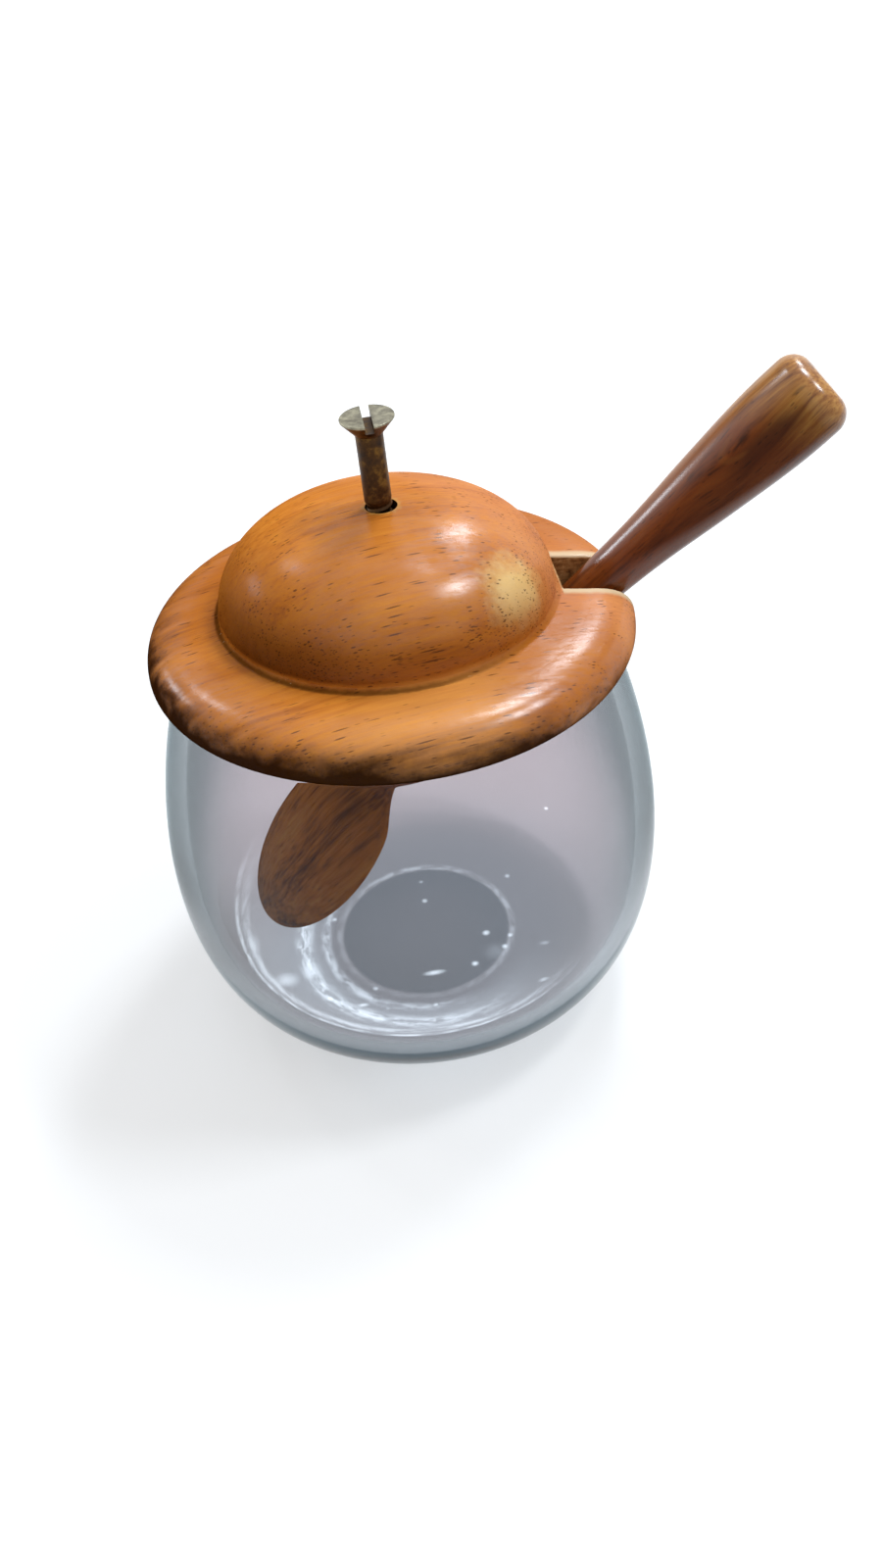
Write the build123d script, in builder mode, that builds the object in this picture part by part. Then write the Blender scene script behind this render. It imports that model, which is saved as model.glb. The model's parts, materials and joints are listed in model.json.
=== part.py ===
from build123d import *
import math
import os

# Honey pot: a blown glass pot, a loose turned wooden lid with a spoon notch, the brass
# screw that stands in the lid, and a carved wooden spoon. Millimetres, +Z up, origin on
# the pot's axis at the surface it stands on, spoon and notch towards +X.

# ---- glass pot ----
pot_height = 77.8
belly_radius = 49.1
belly_height = 34.6
foot_radius = 22.8
punt_radius = 20.4
punt_depth = 1.3
lip_radius = 40.2
lip_slope = 24.5  # degrees from upright, where the wall runs into the lip
wall_thickness = 3.6
lip_thickness = 3.5
lip_flat = 0.9
base_thickness = 6.4
floor_radius = 27.0
foot_fullness = 0.66  # how far each curve holds its end direction
belly_fullness_below = 0.68
belly_fullness_above = 0.36
shoulder_fullness = 0.26

# ---- lid ----
lid_radius = 44.8
rim_edge_rise = 2.9  # height of the widest line above the seat
rim_shoulder_radius = 36.6
rim_shoulder_rise = 9.4
rim_top_fall = 1.0  # from the crease down to the shoulder
rim_fullness_above = 0.63
rim_fullness_below = 0.5
rim_top_crown = 0.1  # slope at which the rim's top runs into its rounded edge
seat_land = 2.9  # width of the flat face that sits on the lip
spigot_clearance = 0.5
recess_past_notch = 0.15  # so that the notch opens straight into the recess
spigot_depth = 4.0
spigot_chamfer = 0.6
recess_rise = 4.8  # ceiling of the turned recess above the seat
recess_corner = 0.5
dome_radius = 30.5
dome_height = 17.8
dome_fullness = 0.623
crease_cove = 1.0
notch_side_gap = 1.54  # left each side of the handle where it crosses the lip
notch_inner_gap = 0.7  # from the dome's foot to the notch's inner end
notch_edge_round = 0.65
cut_overrun = 1.0  # how far a cutting shape passes the surface it opens

# ---- lid screw ----
screw_length = 38.0
screw_exposed = 16.5
screw_lean = 1.3  # degrees towards -X
screw_offset = 0.4
shank_radius = 2.4
head_radius = 4.7
head_edge = 0.35
head_cone_angle = 82.0  # included
slot_width = 1.5
slot_depth = 1.7
point_length = 5.0
screw_clearance = 0.06
hole_end_clearance = 0.4
worn_mouth_wear = 0.4  # how far the hole's mouth has worn beyond the shank
worn_mouth_shift = 0.35  # towards +X
worn_mouth_depth = 5.0

# ---- spoon ----
spoon_yaw = -3.4  # degrees round from +X
spoon_roll = 30.0
handle_past_lip = 1.2  # how far outside the lip the handle's measuring point lies
rest_gap = 0.12  # left between the handle and the lip it rests on
rest_half_width = 4.6  # handle's section over the lip
rest_half_thickness = 3.0
tip_along_corner = 0.742  # where the tip of the bowl stands, along the curve from belly to floor
tip_gap = 0.1
handle_end = 49.4
handle_end_round = 3.9
neck_half_width = 4.0
neck_half_thickness = 2.7
handle_sections = (  # distance up from the measuring point, half width, half thickness
    (-30.0, 4.1, 2.9),
    (-8.0, rest_half_width, rest_half_thickness),
    (8.0, 5.4, 3.7),
    (24.0, 7.2, 5.0),
    (38.0, 8.5, 5.9),
    (handle_end, 8.6, 6.0),
)
bowl_bend = 9.1
bowl_length = 49.4
bowl_half_width = 14.2
bowl_depth = 6.0
bowl_rim = 2.3
bowl_rim_round = 0.7
bowl_floor = 2.4
bowl_overlap = 3.4  # how far the bowl reaches back into the neck


def curve(start, start_pull, end_pull, end):
    """Cubic between two points, given its two control points."""
    return Bezier(start, start_pull, end_pull, end)


# ---- glass pot: one revolved wall ----
os.makedirs("parts", exist_ok=True)

lip_round = (lip_thickness - lip_flat) / 2
slope = math.radians(lip_slope)
down_wall = (math.sin(slope), -math.cos(slope))
shoulder_height = pot_height - lip_round
upper_run = shoulder_height - belly_height
inner_lip_radius = lip_radius - lip_thickness
inner_belly_radius = belly_radius - wall_thickness

with BuildPart() as glass_pot:
    with BuildSketch(Plane.XZ):
        with BuildLine():
            punt = ThreePointArc(
                (0, punt_depth),
                (punt_radius / 2, punt_depth * 0.75),
                (punt_radius, 0),
            )
            foot = Line(punt @ 1, (foot_radius, 0))
            outer_below = curve(
                foot @ 1,
                (foot_radius + foot_fullness * (belly_radius - foot_radius), 0),
                (belly_radius, belly_height * (1 - belly_fullness_below)),
                (belly_radius, belly_height),
            )
            outer_above = curve(
                outer_below @ 1,
                (belly_radius, belly_height + belly_fullness_above * upper_run),
                (
                    lip_radius + down_wall[0] * shoulder_fullness * upper_run,
                    shoulder_height + down_wall[1] * shoulder_fullness * upper_run,
                ),
                (lip_radius, shoulder_height),
            )
            lip_outside = TangentArc(
                outer_above @ 1,
                (lip_radius - lip_round, pot_height),
                tangent=outer_above % 1,
            )
            lip_top = Line(lip_outside @ 1, (inner_lip_radius + lip_round, pot_height))
            lip_inside = RadiusArc(
                lip_top @ 1, (inner_lip_radius, shoulder_height), -lip_round
            )
            inner_above = curve(
                lip_inside @ 1,
                (
                    inner_lip_radius + down_wall[0] * shoulder_fullness * upper_run,
                    shoulder_height + down_wall[1] * shoulder_fullness * upper_run,
                ),
                (inner_belly_radius, belly_height + belly_fullness_above * upper_run),
                (inner_belly_radius, belly_height),
            )
            inner_below = curve(
                inner_above @ 1,
                (
                    inner_belly_radius,
                    belly_height
                    - belly_fullness_below * (belly_height - base_thickness),
                ),
                (
                    floor_radius + foot_fullness * (inner_belly_radius - floor_radius),
                    base_thickness,
                ),
                (floor_radius, base_thickness),
            )
            Polyline(inner_below @ 1, (0, base_thickness), (0, punt_depth))
        make_face()
    revolve(axis=Axis.Z)

glass_pot.part.label = "glass_pot"
export_step(glass_pot.part, "parts/glass_pot.step")

# The handle's section where it crosses the lip, rolled over.
roll = math.radians(spoon_roll)
rest_half_depth = math.hypot(
    rest_half_width * math.sin(roll), rest_half_thickness * math.cos(roll)
)
rest_half_breadth = math.hypot(
    rest_half_width * math.cos(roll), rest_half_thickness * math.sin(roll)
)

# ---- lid: dome, bullnose rim and locating spigot in one turning ----
seat = pot_height
spigot_radius = inner_lip_radius - spigot_clearance
seat_outer_radius = spigot_radius + seat_land
crease = seat + rim_shoulder_rise + rim_top_fall
dome_top = crease + dome_height
rim_run = lid_radius - rim_shoulder_radius
rim_drop = rim_shoulder_rise - rim_edge_rise
lower_run = lid_radius - seat_outer_radius
ceiling = seat + recess_rise
notch_inner = dome_radius + notch_inner_gap
notch_width = 2 * (rest_half_breadth + notch_side_gap)
recess_radius = math.hypot(notch_inner, notch_width / 2) + recess_past_notch

# The screw's own axis, from its head down into the dome.
lean = math.radians(screw_lean)
screw_up = Vector(-math.sin(lean), 0, math.cos(lean))
head_centre = Vector(screw_offset, 0, dome_top) + screw_up * screw_exposed
screw_axis = Axis(head_centre, screw_up)
screw_section = Plane(head_centre, x_dir=(math.cos(lean), 0, math.sin(lean)), z_dir=(0, -1, 0))
screw_face = Plane(head_centre, x_dir=(math.cos(lean), 0, math.sin(lean)), z_dir=screw_up)
hole_radius = shank_radius + screw_clearance
worn_mouth_radius = shank_radius + worn_mouth_wear

with BuildPart() as lid:
    with BuildSketch(Plane.XZ):
        with BuildLine():
            dome = curve(
                (0, dome_top),
                (dome_fullness * dome_radius, dome_top),
                (dome_radius, crease + dome_fullness * dome_height),
                (dome_radius, crease),
            )
            rim_top = Line(dome @ 1, (rim_shoulder_radius, seat + rim_shoulder_rise))
            rim_upper = curve(
                rim_top @ 1,
                (
                    rim_shoulder_radius + rim_fullness_above * rim_run,
                    seat + rim_shoulder_rise - rim_top_crown * rim_fullness_above * rim_run,
                ),
                (lid_radius, seat + rim_edge_rise + rim_fullness_above * rim_drop),
                (lid_radius, seat + rim_edge_rise),
            )
            rim_lower = curve(
                rim_upper @ 1,
                (lid_radius, seat + rim_edge_rise * (1 - rim_fullness_below)),
                (seat_outer_radius + rim_fullness_below * lower_run, seat),
                (seat_outer_radius, seat),
            )
            Polyline(
                rim_lower @ 1,
                (spigot_radius, seat),
                (spigot_radius, seat - spigot_depth),
                (recess_radius, seat - spigot_depth),
                (recess_radius, ceiling),
                (0, ceiling),
                (0, dome_top),
            )
        make_face()
    revolve(axis=Axis.Z)
    circles = lid.edges().filter_by(GeomType.CIRCLE)
    fillet(circles.filter_by(lambda e: abs(e.radius - dome_radius) < 0.01), crease_cove)
    rings = lid.edges().filter_by(GeomType.CIRCLE)
    low_rings = rings.filter_by(
        lambda e: abs(e.arc_center.Z - (seat - spigot_depth)) < 0.01
    )
    chamfer(low_rings, spigot_chamfer)
    fillet(
        rings.filter_by(lambda e: abs(e.arc_center.Z - ceiling) < 0.01), recess_corner
    )
    with BuildSketch(Plane.XY.offset(seat - spigot_depth - cut_overrun)):
        with Locations((notch_inner, 0)):
            Rectangle(
                lid_radius,
                notch_width,
                align=(Align.MIN, Align.CENTER),
            )
    extrude(until=Until.LAST, mode=Mode.SUBTRACT)

    notch_edges = lid.edges().filter_by(
        lambda e: all(abs(abs((e @ t).Y) - notch_width / 2) < 0.01 for t in (0, 0.5, 1))
        and (e @ 0.5).X > notch_inner + notch_edge_round
        and (e @ 0.5).Z > seat + 0.01
    )
    fillet(notch_edges, notch_edge_round)
    with BuildSketch(screw_section):
        Polygon(
            (0, 0),
            (hole_radius, 0),
            (hole_radius, point_length - screw_length),
            (0, -screw_length - hole_end_clearance),
            align=None,
        )
    revolve(axis=screw_axis, mode=Mode.SUBTRACT)
    with BuildSketch(Plane.XY.offset(dome_top - worn_mouth_depth)):
        with Locations((screw_offset + worn_mouth_shift, 0)):
            Circle(worn_mouth_radius)
    extrude(amount=worn_mouth_depth + cut_overrun, mode=Mode.SUBTRACT)

lid.part.label = "lid"
export_step(lid.part, "parts/lid.step")

# ---- lid screw: slotted countersunk wood screw ----
cone_height = (head_radius - shank_radius) / math.tan(math.radians(head_cone_angle / 2))

with BuildPart() as lid_screw:
    with BuildSketch(screw_section):
        Polygon(
            (0, 0),
            (head_radius, 0),
            (head_radius, -head_edge),
            (shank_radius, -head_edge - cone_height),
            (shank_radius, point_length - screw_length),
            (0, -screw_length),
            align=None,
        )
    revolve(axis=screw_axis)
    with BuildSketch(screw_face):
        Rectangle(slot_width, 3 * head_radius)
    extrude(amount=-slot_depth, mode=Mode.SUBTRACT)

lid_screw.part.label = "lid_screw"
export_step(lid_screw.part, "parts/lid_screw.step")

# ---- spoon: clubbed handle and shallow bowl, back upwards ----
yaw = math.radians(spoon_yaw)
bend = math.radians(bowl_bend)
notch_station = lip_radius + handle_past_lip

# In the handle's upright plane its axis is a straight line that passes the round of the
# lip at one distance and the bowl's tip, which hangs off it by the bend, at another.
tip_reach = bowl_length - bowl_overlap
tip_foot = inner_below @ tip_along_corner
tip_way = inner_below % tip_along_corner
tip_out = tip_foot.X + tip_gap * tip_way.Y
tip_height = tip_foot.Y - tip_gap * tip_way.X
tip_below_axis = tip_reach * math.sin(bend) * math.cos(roll)
tip_aside = tip_reach * math.sin(bend) * math.sin(roll) - (notch_station + tip_out) * math.sin(yaw)
lip_round_centre = inner_lip_radius + lip_round
lip_below_axis = lip_round + rest_half_depth + rest_gap
run = (lip_round_centre + math.sqrt(tip_out**2 - tip_aside**2)) / math.cos(yaw)
climb = shoulder_height - tip_height
tip_to_lip = math.hypot(run, climb)
rise = math.atan2(climb, run) + math.asin((lip_below_axis - tip_below_axis) / tip_to_lip)

along = Vector(math.cos(rise) * math.cos(yaw), math.cos(rise) * math.sin(yaw), math.sin(rise))
level_width = Vector(-math.sin(yaw), math.cos(yaw), 0)
level_face = along.cross(level_width)
width_way = level_width * math.cos(roll) + level_face * math.sin(roll)
back_way = level_face * math.cos(roll) - level_width * math.sin(roll)

past_lip = notch_station - lip_round_centre
notch_rise = (lip_below_axis + past_lip * math.sin(rise)) / math.cos(rise)
notch_centre = Vector(notch_station, 0, shoulder_height + notch_rise)
neck_station = (
    math.sqrt(tip_to_lip**2 - (lip_below_axis - tip_below_axis) ** 2)
    + lip_below_axis * math.tan(rise)
    + past_lip / math.cos(rise)
    - tip_reach * math.cos(bend)
)


def handle_plane(station):
    """Plane across the handle, at a distance up from the notch."""
    return Plane(notch_centre + along * station, x_dir=width_way, z_dir=along)


bowl_way = along * -math.cos(bend) - back_way * math.sin(bend)
bowl_back_way = back_way * math.cos(bend) - along * math.sin(bend)
bowl_reach = bowl_length / 2 - bowl_overlap
bowl_centre = notch_centre - along * neck_station + bowl_way * bowl_reach
bowl_place = Plane(bowl_centre, x_dir=bowl_way, z_dir=bowl_back_way)

bowl_outside = scale(Sphere(1), by=(bowl_length / 2, bowl_half_width, bowl_depth))
bowl_inside = scale(
    Sphere(1),
    by=(
        bowl_length / 2 - bowl_rim,
        bowl_half_width - bowl_rim,
        bowl_depth - bowl_floor,
    ),
)
below_rim = Pos(0, 0, -bowl_depth) * Box(2 * bowl_length, 2 * bowl_length, 2 * bowl_depth)
bowl_blank = bowl_outside - below_rim
bowl_blank = fillet(bowl_blank.edges().group_by(Axis.Z)[0], bowl_rim_round)
bowl_shell = bowl_place.location * bowl_blank
bowl_hollow = bowl_place.location * bowl_inside

with BuildPart() as spoon:
    with BuildSketch(handle_plane(-neck_station)):
        Ellipse(neck_half_width, neck_half_thickness)
    for station, half_width, half_thickness in handle_sections:
        with BuildSketch(handle_plane(station)):
            Ellipse(half_width, half_thickness)
    loft()
    end_edge = spoon.edges().group_by(Axis(notch_centre, along))[-1]
    fillet(end_edge, handle_end_round)
    add(bowl_shell)
    add(bowl_hollow, mode=Mode.SUBTRACT)

spoon.part.label = "spoon"
export_step(spoon.part, "parts/spoon.step")
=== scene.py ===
import bmesh
import bpy
import json
import math
from mathutils import Matrix, Vector


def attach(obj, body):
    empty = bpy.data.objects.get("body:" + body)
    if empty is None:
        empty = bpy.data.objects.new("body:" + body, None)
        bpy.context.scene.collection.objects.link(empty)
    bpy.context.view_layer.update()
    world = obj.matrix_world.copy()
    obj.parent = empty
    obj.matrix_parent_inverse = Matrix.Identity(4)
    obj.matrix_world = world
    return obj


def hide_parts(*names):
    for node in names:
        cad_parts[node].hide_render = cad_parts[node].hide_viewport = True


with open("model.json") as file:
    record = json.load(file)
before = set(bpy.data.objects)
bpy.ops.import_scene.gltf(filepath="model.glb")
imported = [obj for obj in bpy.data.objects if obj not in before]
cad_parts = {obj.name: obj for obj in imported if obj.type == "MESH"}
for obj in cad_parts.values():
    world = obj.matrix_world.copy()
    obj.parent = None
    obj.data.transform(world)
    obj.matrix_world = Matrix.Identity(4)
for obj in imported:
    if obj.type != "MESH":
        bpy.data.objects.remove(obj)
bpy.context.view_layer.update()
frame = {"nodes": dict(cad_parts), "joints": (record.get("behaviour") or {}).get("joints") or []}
scene = bpy.context.scene
mm = 0.001
print("frame loaded:", ", ".join(sorted(frame["nodes"])))


def linear(hexColour):
    # scene-linear colour from a hex string
    parts = [int(hexColour[i:i + 2], 16) / 255 for i in (0, 2, 4)]
    return tuple(c / 12.92 if c <= 0.04045 else ((c + 0.055) / 1.055) ** 2.4 for c in parts)


def setStops(ramp, stops):
    while len(ramp.elements) < len(stops):
        ramp.elements.new(0.5)
    for element, (place, hexColour) in zip(ramp.elements, stops):
        element.position = place
        element.color = (*linear(hexColour), 1)


def inMetres(lengths, start=0.0):
    # a span in metres, from one in millimetres that counts from start; its wobbles don't
    low, high, *wobbles = lengths
    return [(start + low) * mm, (start + high) * mm] + [wobble * mm for wobble in wobbles]


class Wire:
    # a value socket that can be used in arithmetic
    def __init__(self, recipe, socket):
        self.recipe = recipe
        self.socket = socket

    def __add__(self, other):
        return self.recipe.maths("ADD", self, other)

    def __radd__(self, other):
        return self.recipe.maths("ADD", other, self)

    def __sub__(self, other):
        return self.recipe.maths("SUBTRACT", self, other)

    def __rsub__(self, other):
        return self.recipe.maths("SUBTRACT", other, self)

    def __mul__(self, other):
        return self.recipe.maths("MULTIPLY", self, other)

    def __rmul__(self, other):
        return self.recipe.maths("MULTIPLY", other, self)

    def __truediv__(self, other):
        return self.recipe.maths("DIVIDE", self, other)

    def __rtruediv__(self, other):
        return self.recipe.maths("DIVIDE", other, self)

    def __abs__(self):
        return self.recipe.maths("ABSOLUTE", self)


def blend(first, second, share):
    # share of the first and the rest of the second
    return first * share + second * (1 - share)


class Recipe:
    # one material, or the world, under construction
    def __init__(self, name, owner=None):
        self.material = owner or bpy.data.materials.new(name)
        self.material.use_nodes = True
        self.tree = self.material.node_tree
        self.tree.nodes.clear()

    def node(self, kind, settings=None, sockets=None):
        made = self.tree.nodes.new(kind)
        for key, value in (settings or {}).items():
            if key == "stops":
                setStops(made.color_ramp, value)
            else:
                setattr(made, key, value)
        for key, value in (sockets or {}).items():
            self.feed(made.inputs[key], value)
        return made

    def feed(self, socket, value):
        if isinstance(value, Wire):
            self.tree.links.new(value.socket, socket)
        elif isinstance(value, bpy.types.NodeSocket):
            self.tree.links.new(value, socket)
        elif isinstance(value, (tuple, list)) and len(value) == 3 and socket.type == "RGBA":
            socket.default_value = (*value, 1)
        else:
            socket.default_value = value

    def maths(self, operation, *values):
        made = self.node("ShaderNodeMath", {"operation": operation}, dict(enumerate(values)))
        return Wire(self, made.outputs[0])

    def largest(self, first, *others):
        for other in others:
            first = self.maths("MAXIMUM", first, other)
        return first

    def objectPlace(self, turn=(0, 0, 0), shift=(0, 0, 0)):
        coordinates = self.node("ShaderNodeTexCoord")
        mapping = self.node("ShaderNodeMapping", {"vector_type": "TEXTURE"}, {
            "Vector": coordinates.outputs["Object"], "Rotation": turn, "Location": shift,
        })
        return mapping.outputs[0]

    def axes(self, vector):
        split = self.node("ShaderNodeSeparateXYZ", None, {0: vector})
        return [Wire(self, output) for output in split.outputs]

    def noise(self, vector, scale, detail=2.0, roughness=0.5, distortion=0.0):
        made = self.node("ShaderNodeTexNoise", None, {
            "Vector": vector, "Scale": scale, "Detail": detail,
            "Roughness": roughness, "Distortion": distortion,
        })
        return Wire(self, made.outputs["Fac"])

    def cells(self, vector, scale):
        made = self.node("ShaderNodeTexVoronoi", None, {"Vector": vector, "Scale": scale})
        return Wire(self, made.outputs["Distance"]), made.outputs["Color"]

    def smooth(self, value, low, high, toLow=0.0, toHigh=1.0):
        made = self.node("ShaderNodeMapRange", {"interpolation_type": "SMOOTHSTEP"}, {
            "Value": value, "From Min": low, "From Max": high, "To Min": toLow, "To Max": toHigh,
        })
        return Wire(self, made.outputs[0])

    def past(self, span, value, *noises):
        # 0 before the span's first number, 1 past its second; its other numbers make the edge ragged
        low, high, *wobbles = span
        for noise, wobble in zip(noises, wobbles):
            value = value + (noise - 0.5) * wobble
        return self.smooth(value, low, high)

    def side(self, place, facing, *noises):
        # the same along a direction, with the span in millimetres
        way, *span = facing
        reach = self.node("ShaderNodeVectorMath", {"operation": "DOT_PRODUCT"}, {0: place, 1: way})
        return self.past(inMetres(span), Wire(self, reach.outputs["Value"]), *noises)

    def near(self, axes, spot, *noises):
        # 1 at a spot and 0 away from it, with the span in millimetres
        centre, *span = spot
        return 1 - self.past(inMetres(span), self.distance(axes, centre), *noises)

    def distance(self, axes, centre):
        parts = [axis - at * mm for axis, at in zip(axes, centre)]
        total = parts[0] * parts[0]
        for part in parts[1:]:
            total = total + part * part
        return self.maths("SQRT", total)

    def mix(self, factor, first, second):
        made = self.node("ShaderNodeMix", {"data_type": "RGBA"})
        self.feed(made.inputs["Factor"], factor)
        self.feed(made.inputs[6], first)
        self.feed(made.inputs[7], second)
        return made.outputs[2]

    def layered(self, colour, layers, masks, paints):
        # lays each paint over the colour where its mask says, in the order of the layers
        for name, (paint, share) in layers.items():
            colour = self.mix(masks[name] * share, colour, paints[paint])
        return colour

    def ramp(self, value, stops):
        return self.node("ShaderNodeValToRGB", {"stops": stops}, {"Fac": value}).outputs["Color"]

    def edgeOn(self):
        # 0 where a surface is seen straight on, 1 along its outline
        return Wire(self, self.node("ShaderNodeLayerWeight", None, {"Blend": 0.5}).outputs["Facing"])

    def bump(self, height, strength, distance):
        made = self.node("ShaderNodeBump", None, {
            "Height": height, "Strength": strength, "Distance": distance,
        })
        return made.outputs[0]

    def principled(self, **sockets):
        return self.node("ShaderNodeBsdfPrincipled", None, {
            key.replace("_", " "): value for key, value in sockets.items()
        })

    def finish(self, shader, volume=None):
        out = self.node("ShaderNodeOutputMaterial", None, {"Surface": shader.outputs[0]})
        if volume:
            self.feed(out.inputs["Volume"], volume.outputs[0])
        return self.material


def objectFrom(name, mesh, material, body, slot, *nodes):
    piece = bpy.data.objects.new(name, mesh)
    scene.collection.objects.link(piece)
    piece.data.materials.clear()
    piece.data.materials.append(material)
    for polygon in piece.data.polygons:
        polygon.use_smooth = True
        polygon.material_index = 0
    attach(piece, body)
    if nodes:
        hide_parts(*nodes)


def meshOfRings(name, rings, startPole, endPole):
    # closed skin over rings of equal length, with a pole at each end
    body = bmesh.new()
    rows = [[body.verts.new(point) for point in ring] for ring in rings]
    count = len(rows[0])
    for lower, upper in zip(rows, rows[1:]):
        for i in range(count):
            j = (i + 1) % count
            body.faces.new((lower[i], lower[j], upper[j], upper[i]))
    for row, pole in ((rows[0], startPole), (rows[-1], endPole)):
        tip = body.verts.new(pole)
        for i in range(count):
            body.faces.new((row[i], row[(i + 1) % count], tip))
    bmesh.ops.recalc_face_normals(body, faces=body.faces)
    mesh = bpy.data.meshes.new(name)
    body.to_mesh(mesh)
    body.free()
    return mesh


def cubic(start, startPull, endPull, end, steps):
    # points of a cubic curve, without its first point
    points = []
    for i in range(1, steps + 1):
        t = i / steps
        u = 1 - t
        points.append(tuple(
            u ** 3 * a + 3 * u * u * t * b + 3 * u * t * t * c + t ** 3 * d
            for a, b, c, d in zip(start, startPull, endPull, end)
        ))
    return points


pot = {  # millimetres and degrees
    "height": 77.8, "bellyRadius": 49.1, "bellyHeight": 34.6, "footRadius": 22.8,
    "puntRadius": 20.4, "puntDepth": 1.3, "lipRadius": 40.2, "lipSlope": 24.5,
    "wall": 3.6, "lip": 3.5, "lipFlat": 0.9, "base": 6.4, "floorRadius": 27.0,
    "footFullness": 0.66, "fullnessBelow": 0.68, "fullnessAbove": 0.36, "shoulderFullness": 0.26,
    "around": 288, "steps": 44, "puntSteps": 10, "lipSteps": 10, "floorSteps": 6,
    "finish": {
        "Roughness": 0.0, "IOR": 1.5, "Transmission_Weight": 1.0, "Specular_Tint": (0.18, 0.20, 0.22),
    },
    "wallBegins": ((0, 0, 1), 16, 48),  # which way, where it begins and where it is full
    # edgeSeen and softSeen run from 0, seen straight on, to 1 along the outline
    "tint": "eee0e1", "edge": "868f90", "edgeSeen": (0.20, 0.76),
    "softEdge": (0.60, 0.67, 0.68), "softSeen": (0.50, 0.88), "softMost": 0.55,
    "thickTint": (0.715, 0.79, 0.815), "thickDensity": 250.0, "shadowTint": (0.68, 0.70, 0.72),
    "deep": (0.38, 0.54, 0.60), "deepFrom": 4.5,
}


def potProfile():
    # from the middle of the underside, up the outside, over the lip and down to the inner floor
    p = pot
    lipRound = (p["lip"] - p["lipFlat"]) / 2
    shoulder = p["height"] - lipRound
    run = shoulder - p["bellyHeight"]
    slope = math.radians(p["lipSlope"])
    pullOut = math.sin(slope) * p["shoulderFullness"] * run
    pullDown = math.cos(slope) * p["shoulderFullness"] * run
    innerLip = p["lipRadius"] - p["lip"]
    innerBelly = p["bellyRadius"] - p["wall"]
    belly = (p["bellyRadius"], p["bellyHeight"])
    lip = (p["lipRadius"], shoulder)
    innerRise = p["bellyHeight"] - p["base"]
    points = []
    for i in range(1, p["puntSteps"] + 1):
        share = i / p["puntSteps"]
        points.append((p["puntRadius"] * share, p["puntDepth"] * (1 - share ** 2)))
    points.append((p["footRadius"], 0))
    points += cubic(
        points[-1],
        (p["footRadius"] + p["footFullness"] * (belly[0] - p["footRadius"]), 0),
        (belly[0], belly[1] * (1 - p["fullnessBelow"])),
        belly, p["steps"],
    )
    points += cubic(
        belly,
        (belly[0], belly[1] + p["fullnessAbove"] * run),
        (lip[0] + pullOut, lip[1] - pullDown),
        lip, p["steps"],
    )
    for i in range(1, p["lipSteps"] + 1):
        turn = math.pi / 2 * i / p["lipSteps"]
        points.append((
            lip[0] - lipRound * (1 - math.cos(turn)), shoulder + lipRound * math.sin(turn)
        ))
    for i in range(p["lipSteps"]):
        turn = math.pi / 2 * i / p["lipSteps"]
        points.append((
            innerLip + lipRound * (1 - math.sin(turn)), shoulder + lipRound * math.cos(turn)
        ))
    points.append((innerLip, shoulder))
    points += cubic(
        points[-1],
        (innerLip + pullOut, shoulder - pullDown),
        (innerBelly, belly[1] + p["fullnessAbove"] * run),
        (innerBelly, belly[1]), p["steps"],
    )
    points += cubic(
        points[-1],
        (innerBelly, belly[1] - p["fullnessBelow"] * innerRise),
        (p["floorRadius"] + p["footFullness"] * (innerBelly - p["floorRadius"]), p["base"]),
        (p["floorRadius"], p["base"]), p["steps"],
    )
    for i in range(1, p["floorSteps"]):
        points.append((p["floorRadius"] * (1 - i / p["floorSteps"]), p["base"]))
    return points


def revolved(name, profile, around, bottom, top):
    rings = []
    for radius, height in profile:
        rings.append([
            (
                radius * math.cos(2 * math.pi * i / around) * mm,
                radius * math.sin(2 * math.pi * i / around) * mm,
                height * mm,
            )
            for i in range(around)
        ])
    return meshOfRings(name, rings, (0, 0, bottom * mm), (0, 0, top * mm))


def clearGlass():
    r = Recipe("clearGlass")
    aboveBase = r.side(r.objectPlace(), pot["wallBegins"])
    turnedAway = r.past(pot["edgeSeen"], r.edgeOn()) * aboveBase
    glass = r.principled(
        Base_Color=r.mix(turnedAway, linear(pot["tint"]), linear(pot["edge"])), **pot["finish"]
    )
    # seen edge on, the wall mirrors less than clean glass would
    soft = r.node("ShaderNodeBsdfTransparent", None, {"Color": pot["softEdge"]})
    softly = r.past(pot["softSeen"], r.edgeOn()) * pot["softMost"] * aboveBase
    wall = r.node("ShaderNodeMixShader", None, {0: softly, 1: glass.outputs[0], 2: soft.outputs[0]})
    # after a few turns inside the thick base the glass glows a pale blue: painted light standing in for
    # the light caught there
    path = r.node("ShaderNodeLightPath")
    late = r.maths("GREATER_THAN", Wire(r, path.outputs["Ray Depth"]), pot["deepFrom"])
    deep = r.node("ShaderNodeEmission", None, {"Color": pot["deep"], "Strength": 1.0})
    body = r.node("ShaderNodeMixShader", None, {0: late, 1: wall.outputs[0], 2: deep.outputs[0]})
    # clear glass keeps little light from the floor
    shade = r.node("ShaderNodeBsdfTransparent", None, {"Color": pot["shadowTint"]})
    mixed = r.node("ShaderNodeMixShader", None, {
        0: path.outputs["Is Shadow Ray"], 1: body.outputs[0], 2: shade.outputs[0],
    })
    thick = r.node("ShaderNodeVolumeAbsorption", None, {
        "Color": pot["thickTint"], "Density": pot["thickDensity"],
    })
    return r.finish(mixed, thick)


glassMesh = revolved("potGlass", potProfile(), pot["around"], pot["puntDepth"], pot["base"])
objectFrom("potGlass", glassMesh, clearGlass(), "pot", "clear_glass", "glass_pot")
print("pot:", len(glassMesh.polygons), "faces")


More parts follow.
